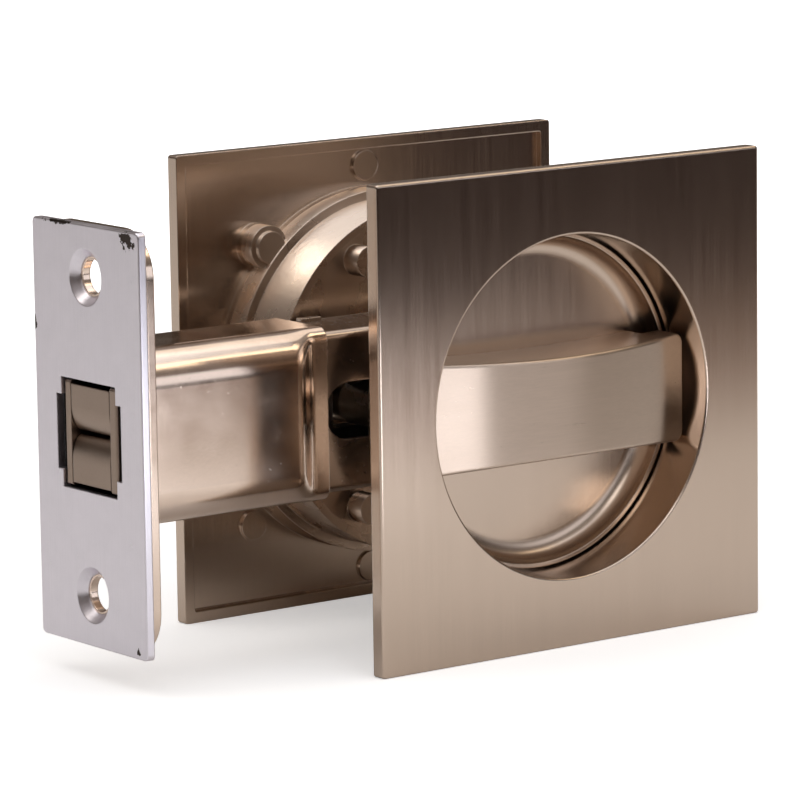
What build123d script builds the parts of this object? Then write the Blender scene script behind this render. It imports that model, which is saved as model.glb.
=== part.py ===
from build123d import *
from math import cos, pi, radians, sin, sqrt, tan
import os

# Frame: X runs from the door's edge into the door, Y through the door, Z up.
# The origin is the centre of the faceplate's back, where it seats in the door's
# edge, midway between its screws. The turn side is at -Y.
# All sizes are in millimetres and all angles in degrees.

# Door
door_thickness = 44.45
backset = 63.5

# Pulls: a square plate with a round cup behind it
plate_side = 66.7
plate_thickness = 2.2
plate_corner = 0.45
plate_edge = 0.35
plate_rim = 1.6
pocket_depth = 1.0
recess_radius = 23.8
recess_edge = 0.3
recess_depth = 11.7
cup_wall = 1.2
cup_floor = 1.1
cup_rim = 1.2
root_ring = 1.3
root_ring_height = 4.5

# Bosses and marks on the back of a pull
bearing_boss_radius = 8.0
bearing_boss_height = 3.4
lug_angles = (45, 225)
lug_radius = 3.1
lug_circle = 27.6
lug_height = 3.6
lug_tip_radius = 2.3
lug_tip_height = 0.7
pad_angles = (90, 135, 270, 315)
pad_radius = 2.2
pad_height = 0.45
pad_circle = 29.3
stud_angles = (60, 120, 240, 300)
stud_radius = 2.2
stud_circle = 20.4
stud_height = 3.2

# Fixing screws and the posts that they thread into
screw_spacing = 38.0
screw_radius = 2.0
screw_head_radius = 3.8
screw_head_height = 2.0
screw_recess_radius = 1.5
screw_recess_depth = 1.3
screw_engagement = 12.0
post_radius = 3.25
post_reach = 4.0
screw_boss_radius = 4.9
screw_boss_height = 2.2

# Turn: a dish and a bar on one shank
dish_floor_depth = 10.6
dish_curve = 2.8
dish_sheet = 0.8
dish_rim = 0.6
dish_heel = 1.2
bar_width = 15.5
bar_waist = 14.0
bar_crown_depth = 0.3
bar_crown_radius = 76.1
bar_corner_gap = 0.41
bar_end_radius = 1.6
bar_edge = 0.45
bar_foot_setback = 0.35
bar_stud_radius = 1.5
bar_stud_spacing = 24.0
shank_radius = 5.0
bushing_wall = 1.2
bushing_flange = 0.6
clip_thickness = 0.6
clip_width = 1.9
clip_opening = 7.0
groove_depth = 0.8
spindle_side = 5.0
spindle_grip = 1.5

# Emergency release in the rear pull
button_radius = 8.5
button_height = 2.8
button_edge = 0.8
coin_slot_width = 2.4
coin_slot_depth = 1.7

# Faceplate: a trim plate over a back plate
face_height = 57.15
face_width = 25.4
trim_thickness = 1.2
trim_corner = 0.8
trim_edge = 0.25
back_thickness = 1.2
back_corner = 6.35
face_screw_spacing = 43.0
face_screw_radius = 2.4
face_sink_radius = 3.85
mouth_width = 13.0
mouth_height = 15.0
notch_width = 15.4
notch_height = 10.2

# Latch case and its tail
case_height = 24.0
case_depth = 18.5
case_corner = 5.0
case_sheet = 0.8
case_length = 25.4
shoulder_length = 4.8
shoulder_steps = 6
collar_length = 2.0
tail_depth = 12.0
tail_sheet = 1.2
tail_corner = 1.1
tail_margin = 31.5
slot_height = 8.0
slot_margin = 0.1
slot_inner = 14.3
tail_rivet_radius = 1.3
tail_rivet_margin = 2.8
tail_rivet_inset = 3.2
tail_rivet_head_radius = 1.8
tail_rivet_head_height = 0.5
tab_length = 3.4
tab_proud = 0.5
tab_height = 1.2
tab_inset = 4.9
liner_wall = 0.9
liner_length = 21.2

# Bolt: a carriage with two hooks that spread
throw = 10.0
bolt_setback = 0.3
carriage_side = 1.5
carriage_end_gap = 1.7
carriage_web = 2.8
carriage_edge = 0.4
rib_height = 7.8
rib_setback = 2.3
rib_end_gap = 0.8
hook_angle = 12.0
hook_eye_gap = 0.4
hook_pivot_height = 4.2
hook_pin_radius = 1.5
hook_eye_radius = 3.2
hook_head_length = 3.5
hook_nose_gap = 0.8
hook_lip_height = 3.4
hook_lip_depth = 1.7
hook_split = 0.25
spreader_radius = 1.5
spreader_station = 8.5

# Drive inside the tail
hub_disc_radius = 6.5
hub_flat_radius = 6.1
hub_disc_back = 0.6
crank_pin_radius = 1.2
crank_boss_radius = 2.4
crank_pin_proud = 0.3
slide_thickness = 2.4
slide_neck_height = 6.2
slide_reach = 11.5
spring_sheet = 0.5
spring_width = 2.6
spring_half_span = 10.5
spring_foot = 2.0

# Clearances
running_fit = 0.06
slip_gap = 0.05
guide_gap = 0.1
sliding_gap = 0.3
swing_gap = 0.35
crank_slack = 0.5

# Heights in a pull, from the door's face outwards
seat = door_thickness / 2
floor_height = plate_thickness - recess_depth
floor_back = floor_height - cup_floor
cup_end = floor_back - cup_rim
cup_radius = recess_radius + cup_wall
boss_end = floor_back - bearing_boss_height
flange_end = boss_end - bushing_flange
clip_end = flange_end - slip_gap - clip_thickness
shank_end = clip_end - groove_depth
bushing_radius = shank_radius + running_fit
bushing_outer = bushing_radius + bushing_wall
dish_radius = recess_radius - sliding_gap
dish_inner = dish_radius - dish_rim
dish_top = plate_thickness - dish_floor_depth
dish_back = dish_top - dish_sheet
dish_brim = dish_top + dish_curve
bar_reach = recess_radius - bar_corner_gap - bar_end_radius
bar_half_length = bar_end_radius + sqrt(bar_reach**2 - (bar_width / 2 - bar_end_radius) ** 2)
bar_bow = bar_crown_radius - sqrt(bar_crown_radius**2 - bar_half_length**2)
spindle_end = dish_back - spindle_grip
groove_radius = shank_radius - groove_depth
screw_hole = screw_radius + swing_gap
post_end = -(seat + post_reach)
socket_side = spindle_side + 2 * slip_gap

# Stations along the latch, from the faceplate inwards
face_front = -(trim_thickness + back_thickness)
trim_back = face_front + trim_thickness
shoulder_end = case_length + shoulder_length
collar_end = shoulder_end + collar_length
spindle_x = face_front + backset
tail_end = spindle_x + tail_margin
slot_length = spindle_x - slot_inner - collar_end - slot_margin
bolt_front = face_front + bolt_setback
carriage_end = shoulder_end - carriage_end_gap
hook_pivot = carriage_end - carriage_web - hook_eye_gap - hook_eye_radius
spreader_x = face_front + spreader_station
rib_start = trim_back + throw + rib_setback
rib_end = case_length - rib_end_gap

# Half sizes across the latch
mouth_half_height = mouth_height / 2
tail_height = case_height - 2 * case_sheet
tail_side = tail_depth / 2
tail_rivet_height = tail_height / 2 - tail_rivet_margin
tail_inner = tail_side - tail_sheet
tail_inner_height = tail_height / 2 - tail_sheet
liner_outer_depth = case_depth - 2 * case_sheet
liner_inner_depth = liner_outer_depth - 2 * liner_wall
carriage_width = mouth_width - 2 * sliding_gap
carriage_height = mouth_height - 2 * swing_gap
carriage_inner = carriage_width / 2 - carriage_side
rib_outer = liner_inner_depth / 2 - sliding_gap
hook_half_width = carriage_inner - swing_gap / 2

# Drive: the crank pin swings a quarter turn, evenly about the vertical
crank_radius = throw / (2 * sin(pi / 4))
crank_x = spindle_x + crank_radius * sin(pi / 4)
crank_z = crank_radius * cos(pi / 4)
hub_disc_front = swing_gap - tail_inner
slide_front = hub_disc_back + sliding_gap
slide_back = slide_front + slide_thickness
slide_head_start = spindle_x - slide_reach
slide_head_end = spindle_x + slide_reach

front_plane = Plane(origin=(spindle_x, -seat, 0), x_dir=(1, 0, 0), z_dir=(0, -1, 0))
rear_plane = Plane(origin=(spindle_x, seat, 0), x_dir=(-1, 0, 0), z_dir=(0, 1, 0))
edge_plane = Plane(origin=(face_front, 0, 0), x_dir=(0, -1, 0), z_dir=(-1, 0, 0))


def turned(points):
    """A solid of revolution about Z from (radius, height) corners."""
    outline = make_face(Plane.XZ * Polyline(*points, close=True))
    return revolve(outline, Axis.Z)


def tube(outer, inner, bottom, top):
    """A ring between two heights on Z."""
    ring = Circle(outer) - Circle(inner)
    return extrude(Plane.XY.offset(bottom) * ring, top - bottom)


def disc(radius, bottom, top, x=0, y=0):
    """A round bar between two heights, its axis along Z."""
    return extrude(Plane.XY.offset(bottom) * Pos(x, y) * Circle(radius), top - bottom)


def polar(radius, angle):
    """The point at a radius and an angle."""
    return radius * cos(radians(angle)), radius * sin(radians(angle))


def through_door(sketch, start, end):
    """Carries an X-Z sketch through the door from y = start to y = end."""
    place = Plane(origin=(0, start, 0), x_dir=(1, 0, 0), z_dir=(0, -1, 0))
    return extrude(place * sketch, start - end)


def into_door(sketch, start, end):
    """Carries a Y-Z sketch into the door from x = start to x = end."""
    return extrude(Plane.YZ.offset(start) * sketch, end - start)


def span(start, end, height):
    """A rectangle from x = start to x = end, centred on Z."""
    return Pos((start + end) / 2, 0) * Rectangle(end - start, height)


def pull_casting():
    """Square plate, round cup, root ring, lugs, pads and studs of either pull."""
    plate = extrude(RectangleRounded(plate_side, plate_side, plate_corner), plate_thickness)
    plate = fillet(plate.faces().sort_by(Axis.Z)[-1].edges(), plate_edge)
    pocket_side = plate_side - 2 * plate_rim
    plate -= extrude(RectangleRounded(pocket_side, pocket_side, plate_corner), pocket_depth)
    cup = disc(cup_radius, cup_end, plate_thickness)
    cup += disc(cup_radius + root_ring, pocket_depth - root_ring_height, pocket_depth)
    pull = plate + cup
    for angle in lug_angles:
        x, y = polar(lug_circle, angle)
        lug_end = pocket_depth - lug_height
        pull += disc(lug_radius, lug_end, pocket_depth, x, y)
        pull += disc(lug_tip_radius, lug_end - lug_tip_height, lug_end, x, y)
    for angle in pad_angles:
        x, y = polar(pad_circle, angle)
        pull += disc(pad_radius, pocket_depth - pad_height, pocket_depth, x, y)
    pull -= disc(recess_radius, floor_height, plate_thickness)
    pull -= disc(recess_radius, cup_end, floor_back)
    rims = pull.edges().filter_by(GeomType.CIRCLE).group_by(Axis.Z)[-1]
    pull = fillet([rims.sort_by(SortBy.RADIUS)[-1]], recess_edge)
    for angle in stud_angles:
        x, y = polar(stud_circle, angle)
        pull += disc(stud_radius, floor_back - stud_height, floor_back, x, y)
    pull += disc(bearing_boss_radius, boss_end, floor_back)
    return pull - disc(bushing_outer, boss_end, floor_height)


def front_pull():
    """The turn side's pull, with the two threaded posts that cross the latch."""
    pull = pull_casting()
    for side in (-1, 1):
        x = side * screw_spacing / 2
        pull += disc(post_radius, post_end, floor_back, x)
        pull -= disc(screw_radius + slip_gap, post_end, post_end + screw_engagement, x)
    return front_plane.location * pull


def rear_pull():
    """The far side's pull, with a sunk hole for each fixing screw."""
    pull = pull_casting()
    boss_back = floor_back - screw_boss_height
    sink_bottom = floor_height - screw_head_height
    sink_outline = [
        (0, sink_bottom),
        (screw_radius, sink_bottom),
        (screw_head_radius, floor_height),
        (0, floor_height),
    ]
    for side in (-1, 1):
        x = side * screw_spacing / 2
        pull += disc(screw_boss_radius, boss_back, floor_back, x)
        pull -= disc(screw_hole, boss_back, floor_height, x)
        pull -= Pos(x, 0) * turned(sink_outline)
    return rear_plane.location * pull


def mounting_screws():
    """Two countersunk screws from the rear recess into the front posts."""
    head_bottom = floor_height - screw_head_height
    tip = post_reach - seat - screw_engagement + slip_gap
    outline = [
        (0, tip),
        (screw_radius, tip),
        (screw_radius, head_bottom),
        (screw_head_radius, floor_height),
        (0, floor_height),
    ]
    screw = turned(outline)
    socket = RegularPolygon(screw_recess_radius, 6)
    screw -= extrude(Plane.XY.offset(floor_height - screw_recess_depth) * socket, screw_recess_depth)
    half = screw_spacing / 2
    pair = [rear_plane.location * (Pos(side * half, 0) * screw) for side in (-1, 1)]
    return Compound(children=pair)


def bushing(plane):
    """A flanged nylon bush, pressed into a pull's bearing boss from behind."""
    bush = tube(bushing_outer, bushing_radius, boss_end, floor_height - slip_gap)
    bush += tube(bearing_boss_radius - slip_gap, bushing_radius, flange_end, boss_end)
    return plane.location * bush


def shank(top):
    """Round shank with a clip groove and a square socket, from a height down."""
    stem = disc(shank_radius, shank_end, top)
    groove_bottom = clip_end - slip_gap
    groove_top = clip_end + clip_thickness + slip_gap
    stem -= tube(shank_radius + groove_depth, groove_radius, groove_bottom, groove_top)
    socket = Rectangle(socket_side, socket_side)
    return stem - extrude(Plane.XY.offset(shank_end) * socket, spindle_end + slip_gap - shank_end)


def clip(plane):
    """A spring clip in the shank's groove, open on one side."""
    inner = groove_radius + slip_gap
    ring = Circle(inner + clip_width) - Circle(inner)
    ring -= Pos(0, -inner - clip_width / 2) * Rectangle(clip_opening, 2 * clip_width)
    return plane.location * extrude(Plane.XY.offset(clip_end) * ring, clip_thickness)


def turn_dish():
    """A turned dish with a hollow curve up to its rim, on its shank."""
    curve_start = dish_inner - dish_curve
    diagonal = dish_curve * (1 - cos(pi / 4))
    with BuildSketch(Plane.XZ) as outline:
        with BuildLine():
            Polyline(
                (curve_start, dish_top),
                (0, dish_top),
                (0, dish_back),
                (dish_radius - dish_heel, dish_back),
                (dish_radius, dish_back + dish_heel),
                (dish_radius, dish_brim),
                (dish_inner, dish_brim),
            )
            ThreePointArc(
                (dish_inner, dish_brim),
                (dish_inner - diagonal, dish_top + diagonal),
                (curve_start, dish_top),
            )
        make_face()
    dish = revolve(outline.sketch, Axis.Z)
    for side in (-1, 1):
        x = side * bar_stud_spacing / 2
        dish -= disc(bar_stud_radius + slip_gap, dish_back, dish_top, x)
    return front_plane.location * (dish + shank(dish_back))


def turn_bar():
    """The bar across the dish, bowed along its length and waisted, with two riveted studs.

    Its side view and its plan are carried through each other.
    """
    crown = plate_thickness - bar_crown_depth
    shoulder = dish_brim + swing_gap
    flat = dish_inner - dish_curve - bar_foot_setback
    foot = sqrt(flat**2 - (bar_width / 2) ** 2)
    end = bar_half_length
    with BuildSketch(Plane.XZ) as outline:
        with BuildLine():
            ThreePointArc((-end, crown - bar_bow), (0, crown), (end, crown - bar_bow))
            Polyline(
                (end, crown - bar_bow),
                (end, shoulder),
                (foot, shoulder),
                (foot, dish_top),
                (-foot, dish_top),
                (-foot, shoulder),
                (-end, shoulder),
                (-end, crown - bar_bow),
            )
        make_face()
    with BuildSketch(Plane.XY.offset(dish_top)) as plan:
        with BuildLine():
            side, waist = bar_width / 2, bar_waist / 2
            ThreePointArc((-end, side), (0, waist), (end, side))
            Line((end, side), (end, -side))
            ThreePointArc((end, -side), (0, -waist), (-end, -side))
            Line((-end, -side), (-end, side))
        make_face()
    blank = extrude(plan.sketch, dish_floor_depth)
    blank = fillet(blank.edges().filter_by(Axis.Z), bar_end_radius)
    bar = blank & extrude(outline.sketch, bar_width, both=True)
    bar = fillet(bar.faces().sort_by(Axis.Z)[-1].edges(), bar_edge)
    for side in (-1, 1):
        bar += disc(bar_stud_radius, dish_back, dish_top, side * bar_stud_spacing / 2)
    return front_plane.location * bar


def release_button():
    """The rear release, a low round button with a coin slot, on its shank."""
    bottom = floor_height + sliding_gap
    top = bottom + button_height
    button = disc(button_radius, bottom, top)
    button = fillet(button.faces().sort_by(Axis.Z)[-1].edges(), button_edge)
    slot = Rectangle(2 * button_radius, coin_slot_width)
    button -= extrude(Plane.XY.offset(top - coin_slot_depth) * slot, coin_slot_depth)
    return rear_plane.location * (button + shank(bottom))


def spindle():
    """The square bar that joins the turn, the hub and the release."""
    reach = seat + spindle_end
    return through_door(Pos(spindle_x, 0) * Rectangle(spindle_side, spindle_side), -reach, reach)


def mouth_sketch():
    """The bolt's opening in the faceplate, with a notch on each side."""
    return Rectangle(mouth_width, mouth_height) + Rectangle(notch_width, notch_height)


def trim_plate():
    """The visible plate on the door's edge, square cornered, with sunk holes."""
    outline = RectangleRounded(face_width, face_height, trim_corner)
    plate = into_door(outline, face_front, trim_back)
    plate = fillet(plate.faces().sort_by(Axis.X)[0].edges(), trim_edge)
    plate -= into_door(mouth_sketch(), face_front, trim_back)
    sink_end = face_sink_radius - trim_thickness
    sink_outline = [(0, 0), (face_sink_radius, 0), (sink_end, -trim_thickness), (0, -trim_thickness)]
    for side in (-1, 1):
        hole = Pos(0, side * face_screw_spacing / 2) * turned(sink_outline)
        plate -= edge_plane.location * hole
    return plate


def back_plate():
    """The plate behind the trim, with the round ends of a routed mortise.

    The case passes through it, up to the trim plate.
    """
    hole_depth = case_depth + 2 * slip_gap
    hole_height = case_height + 2 * slip_gap
    shape = RectangleRounded(face_width, face_height, back_corner)
    shape -= RectangleRounded(hole_depth, hole_height, case_corner + slip_gap)
    for side in (-1, 1):
        shape -= Pos(0, side * face_screw_spacing / 2) * Circle(face_screw_radius)
    return into_door(shape, trim_back, 0)


def case_shell(shrink, end_depth, end_corner):
    """Round-cornered tube that narrows over a drawn shoulder to a collar round the tail.

    The shoulder eases from one section to the other along half a cosine wave.
    """
    depth, corner = case_depth - 2 * shrink, case_corner - shrink
    sections = []
    for step in range(shoulder_steps + 1):
        ease = (1 + cos(pi * step / shoulder_steps)) / 2
        section = RectangleRounded(
            end_depth + (depth - end_depth) * ease,
            case_height - 2 * shrink,
            end_corner + (corner - end_corner) * ease,
        )
        station = case_length + shoulder_length * step / shoulder_steps
        sections.append(Plane.YZ.offset(station) * section)
    case = extrude(sections[0], trim_back - case_length)
    return case + loft(sections) + extrude(sections[-1], collar_length)


def latch_case():
    """The drawn steel case between the faceplate and the tail."""
    outer = case_shell(0, tail_depth + 2 * case_sheet, tail_corner + case_sheet)
    return outer - case_shell(case_sheet, tail_depth, tail_corner)


def rivet_places():
    """The two rivets that close the tail's far end, in X and Z.

    The case's collar holds the near end.
    """
    return [(tail_end - tail_rivet_inset, z) for z in (-tail_rivet_height, tail_rivet_height)]


def cheek_cuts():
    """What goes through either cheek, in X and Z: bearing, slots and rivet holes."""
    cuts = Pos(spindle_x, 0) * Circle(shank_radius + running_fit)
    for side in (-1, 1):
        middle = spindle_x + side * (slot_inner + slot_length / 2)
        cuts += Pos(middle, 0) * SlotOverall(slot_length, slot_height)
    for x, z in rivet_places():
        cuts += Pos(x, z) * Circle(tail_rivet_radius)
    return cuts


def tab_boxes(grow):
    """The cover's four tabs, which pass the channel's top and bottom walls."""
    tabs = Part()
    bottom = tail_inner_height - grow
    top = tail_height / 2 + tab_proud
    for x in (collar_end + tab_inset, tail_end - tab_inset):
        outline = Rectangle(tab_length + 2 * grow, top - bottom)
        place = Pos(x, (bottom + top) / 2)
        tab = through_door(place * outline, tail_inner, tail_inner - tab_height - grow)
        tabs += tab + mirror(tab, Plane.XY)
    return tabs


def tail_channel():
    """The folded channel that carries the hub: one cheek, two walls and an end."""
    inside = Rectangle(2 * tail_inner, 2 * tail_inner_height)
    section = RectangleRounded(2 * tail_side, tail_height, tail_corner) - inside
    section -= Pos(tail_side - tail_sheet / 2, 0) * Rectangle(tail_sheet, tail_height)
    channel = into_door(section, shoulder_end, tail_end)
    channel += into_door(inside, tail_end - tail_sheet, tail_end)
    channel -= through_door(cheek_cuts(), -tail_side, -tail_inner)
    return channel - tab_boxes(slip_gap)


def tail_cover():
    """The cheek that closes the channel, with round edges and its tabs."""
    section = RectangleRounded(2 * tail_side, tail_height, tail_corner)
    section &= Pos(tail_side - tail_sheet / 2, 0) * Rectangle(tail_sheet, tail_height)
    cover = into_door(section, shoulder_end, tail_end)
    return cover - through_door(cheek_cuts(), tail_inner, tail_side) + tab_boxes(0)


def tail_rivets():
    """Two shouldered rivets across the tail, with low heads outside."""
    rivets = []
    outside = tail_side + tail_rivet_head_height
    for x, z in rivet_places():
        stem = through_door(Pos(x, z) * Circle(tail_rivet_radius), -tail_side, tail_side)
        head = Pos(x, z) * Circle(tail_rivet_head_radius)
        stem += through_door(head, -outside, -tail_side)
        stem += through_door(head, tail_side, outside)
        rivets.append(stem)
    return Compound(children=rivets)


def bolt_liner():
    """The nylon guide inside the case's mouth, which holds the spreader pin."""
    outer_corner = case_corner - case_sheet
    inner_height = tail_height - 2 * liner_wall
    outer = RectangleRounded(liner_outer_depth, tail_height, outer_corner)
    inner = RectangleRounded(liner_inner_depth, inner_height, outer_corner - liner_wall)
    liner = into_door(outer - inner, trim_back, trim_back + liner_length)
    pin = Pos(spreader_x, 0) * Circle(spreader_radius)
    return liner - through_door(pin, -case_depth, case_depth)


def spreader_pin():
    """The fixed cross pin that parts the hooks as the bolt comes out."""
    reach = liner_outer_depth / 2
    return through_door(Pos(spreader_x, 0) * Circle(spreader_radius), -reach, reach)


def carriage():
    """Two long ribbed sides joined by a web, slotted for the spreader pin."""
    outline = span(bolt_front, carriage_end, carriage_height)
    body = through_door(outline, -carriage_width / 2, carriage_width / 2)
    body = fillet(body.faces().sort_by(Axis.X)[0].edges(), carriage_edge)
    gap = span(bolt_front, carriage_end - carriage_web, carriage_height)
    body -= through_door(gap, -carriage_inner, carriage_inner)
    rib = span(rib_start, rib_end, rib_height)
    body += through_door(rib, -rib_outer, -carriage_width / 2)
    body += through_door(rib, carriage_width / 2, rib_outer)
    clear = spreader_radius + sliding_gap
    travel = SlotOverall(throw + 2 * clear, 2 * clear)
    body -= through_door(Pos(spreader_x + throw / 2, 0) * travel, -case_depth, case_depth)
    for end in (-1, 1):
        pin = Pos(hook_pivot, end * hook_pivot_height) * Circle(hook_pin_radius)
        body -= through_door(pin, -carriage_width, carriage_width)
    neck = span(carriage_end - carriage_web, carriage_end, 2 * slide_neck_height)
    return body - through_door(neck, slide_front, slide_back)


def hook_pins():
    """The two pivot pins, flush with the carriage's sides."""
    pins = []
    for end in (-1, 1):
        outline = Pos(hook_pivot, end * hook_pivot_height) * Circle(hook_pin_radius)
        pins.append(through_door(outline, -carriage_width / 2, carriage_width / 2))
    return Compound(children=pins)


def on_hook(x, z, share):
    """Where a fixed point of the latch stands on the upper hook, in X and Z at rest.

    When the bolt is out by a share of its throw, the pivot has moved by share * throw
    and the hook has turned by share * hook_angle. The point's place from the pivot is
    turned back by that angle, and laid off from the pivot at rest.
    """
    along = x - hook_pivot + share * throw
    up = z - hook_pivot_height
    turn = radians(share * hook_angle)
    back_along = along * cos(turn) - up * sin(turn)
    back_up = along * sin(turn) + up * cos(turn)
    return hook_pivot + back_along, hook_pivot_height + back_up


def neck_height():
    """The height of a hook's neck that just clears the mouth when the bolt is out.

    A line at a height h over the pivot, tilted by the hook's angle a, stands at
    d * tan(a) + h / cos(a) over the pivot at a distance d, here the faceplate's front.
    """
    angle = radians(hook_angle)
    distance = hook_pivot - throw - face_front
    room = mouth_half_height - sliding_gap - hook_pivot_height - distance * tan(angle)
    return hook_pivot_height + room * cos(angle)


def hook(end):
    """A hook with a rounded lip, a head, a neck, an eye and two worked-out edges.

    The head's sloping top follows the mouth's edge, and the slot follows the spreader
    pin, both as they pass along the hook while the bolt comes out.
    """
    mouth_edge = mouth_half_height - sliding_gap
    head_corner = on_hook(face_front, mouth_edge, hook_head_length / throw)
    neck_top = neck_height()
    lip_top = hook_split + hook_lip_height
    with BuildSketch() as outline:
        with BuildLine():
            Polyline(
                (bolt_front, lip_top),
                (bolt_front, mouth_half_height - hook_nose_gap),
                head_corner,
                (head_corner[0], neck_top),
                (hook_pivot, neck_top),
                (hook_pivot, hook_split),
                (bolt_front + hook_lip_depth, hook_split),
            )
            EllipticalCenterArc(
                (bolt_front + hook_lip_depth, lip_top),
                hook_lip_depth,
                hook_lip_height,
                start_angle=180,
                arc_size=90,
            )
        make_face()
    pivot = Pos(hook_pivot, hook_pivot_height)
    shape = outline.sketch + pivot * Circle(hook_eye_radius)
    shape -= pivot * Circle(hook_pin_radius + running_fit)
    start, middle, finish = (on_hook(spreader_x, 0, share) for share in (0, 0.5, 1))
    clear = spreader_radius + sliding_gap
    shape -= trace(ThreePointArc(start, middle, finish), 2 * clear)
    shape -= Pos(*start) * Circle(clear)
    shape -= Pos(*finish) * Circle(clear)
    solid = through_door(shape, -hook_half_width, hook_half_width)
    return solid if end > 0 else mirror(solid, Plane.XY)


def bolt_slide():
    """The forked slide between the carriage and the crank pin."""
    post_gap = post_radius + sliding_gap
    hub_gap = shank_radius + swing_gap
    head_height = tail_inner_height - guide_gap
    shape = span(carriage_end - carriage_web, slide_head_start, 2 * slide_neck_height)
    shape += span(slide_head_start, slide_head_end, 2 * head_height)
    shape -= span(spindle_x - screw_spacing / 2 - post_gap, slide_head_end, 2 * post_gap)
    shape -= span(spindle_x - hub_gap, slide_head_end, 2 * hub_gap)
    slot_top = crank_radius + crank_pin_radius + sliding_gap
    slot_width = 2 * (crank_pin_radius + crank_slack)
    shape -= Pos(crank_x, slot_top / 2) * Rectangle(slot_width, slot_top)
    return through_door(shape, slide_front, slide_back)


def hub():
    """The cam hub: journals, disc with two flats, crank arm and pin, square bore.

    One flat faces the leaf spring at rest, and the other after the quarter turn.
    """
    centre = Pos(spindle_x, 0)
    crank = Pos(crank_x, crank_z)
    cutter = Rectangle(2 * hub_disc_radius, 2 * hub_disc_radius)
    cam = centre * Circle(hub_disc_radius)
    cam -= Pos(spindle_x, -hub_flat_radius - hub_disc_radius) * cutter
    cam -= Pos(spindle_x - hub_flat_radius - hub_disc_radius, 0) * cutter
    arm_ends = centre * Circle(crank_boss_radius) + crank * Circle(crank_boss_radius)
    cam += make_hull(arm_ends.edges())
    body = through_door(centre * Circle(shank_radius), -tail_side, tail_side)
    body += through_door(cam, hub_disc_front, hub_disc_back)
    pin = crank * Circle(crank_pin_radius)
    body += through_door(pin, hub_disc_back, slide_back + crank_pin_proud)
    return body - through_door(centre * Rectangle(socket_side, socket_side), -tail_side, tail_side)


def detent_spring():
    """A leaf spring under the hub, bowed up, with two flat feet."""
    foot_line = (spring_sheet / 2) - tail_inner_height
    crown_line = -hub_disc_radius - swing_gap - spring_sheet / 2
    left, right = spindle_x - spring_half_span, spindle_x + spring_half_span
    with BuildLine() as centre_line:
        Line((left - spring_foot, foot_line), (left, foot_line))
        ThreePointArc((left, foot_line), (spindle_x, crown_line), (right, foot_line))
        Line((right, foot_line), (right + spring_foot, foot_line))
    leaf = trace(centre_line.line, spring_sheet)
    middle = (hub_disc_front + hub_disc_back) / 2
    return through_door(leaf, middle - spring_width / 2, middle + spring_width / 2)


parts = {
    "front_pull": front_pull(),
    "rear_pull": rear_pull(),
    "front_bushing": bushing(front_plane),
    "rear_bushing": bushing(rear_plane),
    "mounting_screws": mounting_screws(),
    "turn_dish": turn_dish(),
    "turn_bar": turn_bar(),
    "turn_clip": clip(front_plane),
    "release_button": release_button(),
    "release_clip": clip(rear_plane),
    "spindle": spindle(),
    "trim_plate": trim_plate(),
    "back_plate": back_plate(),
    "latch_case": latch_case(),
    "tail_channel": tail_channel(),
    "tail_cover": tail_cover(),
    "tail_rivets": tail_rivets(),
    "bolt_liner": bolt_liner(),
    "spreader_pin": spreader_pin(),
    "carriage": carriage(),
    "hook_upper": hook(1),
    "hook_lower": hook(-1),
    "hook_pins": hook_pins(),
    "bolt_slide": bolt_slide(),
    "hub": hub(),
    "detent_spring": detent_spring(),
}

os.makedirs("parts", exist_ok=True)
for name, shape in parts.items():
    export_step(shape, f"parts/{name}.step")
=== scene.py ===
"""Finishes the pocket door privacy lock and sets it in a plain studio.

Everything is in metres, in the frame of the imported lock: X runs into the door, Y through
the door with the turn side at -Y, and Z up. The origin is the centre of the faceplate's back.
"""

from math import cos, radians, sin

import bpy
import numpy as np
from bpy.props import FloatProperty, FloatVectorProperty, IntProperty, PointerProperty
from mathutils import Matrix, Vector


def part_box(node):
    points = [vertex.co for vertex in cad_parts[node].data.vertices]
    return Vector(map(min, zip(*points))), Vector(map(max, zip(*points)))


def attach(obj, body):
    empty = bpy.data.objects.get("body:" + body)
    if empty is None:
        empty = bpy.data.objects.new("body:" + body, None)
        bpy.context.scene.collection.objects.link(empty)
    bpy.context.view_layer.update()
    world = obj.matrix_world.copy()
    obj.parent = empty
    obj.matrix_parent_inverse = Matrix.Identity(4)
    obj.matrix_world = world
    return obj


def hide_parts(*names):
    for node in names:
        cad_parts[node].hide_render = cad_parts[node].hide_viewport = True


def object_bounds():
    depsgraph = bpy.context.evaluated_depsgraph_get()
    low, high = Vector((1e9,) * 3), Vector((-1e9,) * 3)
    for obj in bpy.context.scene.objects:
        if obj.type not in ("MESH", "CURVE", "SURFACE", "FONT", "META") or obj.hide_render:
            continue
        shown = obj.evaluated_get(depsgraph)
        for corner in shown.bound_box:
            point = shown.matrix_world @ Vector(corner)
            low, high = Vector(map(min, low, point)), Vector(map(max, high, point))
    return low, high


bl_info = {
    "name": "Pocket door privacy lock",
    "version": (1, 0, 0),
    "blender": (4, 5, 0),
    "location": "3D Viewport > Sidebar > Lock",
    "description": "Metal finishes, threaded screws and a studio for a pocket door privacy lock",
    "category": "Object",
}

MM = 0.001
X_AXIS, Z_AXIS = (1, 0, 0), (0, 0, 1)

# Where the faceplate's plating is gone: across, up, half width and half height in mm.
FACE_CHIPS = (
    (-10.2, 27.4, 1.5, 1.2),
    (6.5, 28.6, 2.6, 0.5),
    (-10.6, -27.6, 0.5, 0.5),
    (12.5, 14.5, 0.4, 1.1),
)

# How far brushed metal spreads its highlights across the grain, from 0 to 1.
BRUSHED_SPREAD = 0.88

# How many rays find the normals of an edge that is softened, as rolled metal's edges are.
EDGE_SAMPLES = 6

# What makes a range's result fall from 1 to 0, where it would rise from 0 to 1.
FALLING = {"To Min": 1.0, "To Max": 0.0}

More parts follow.
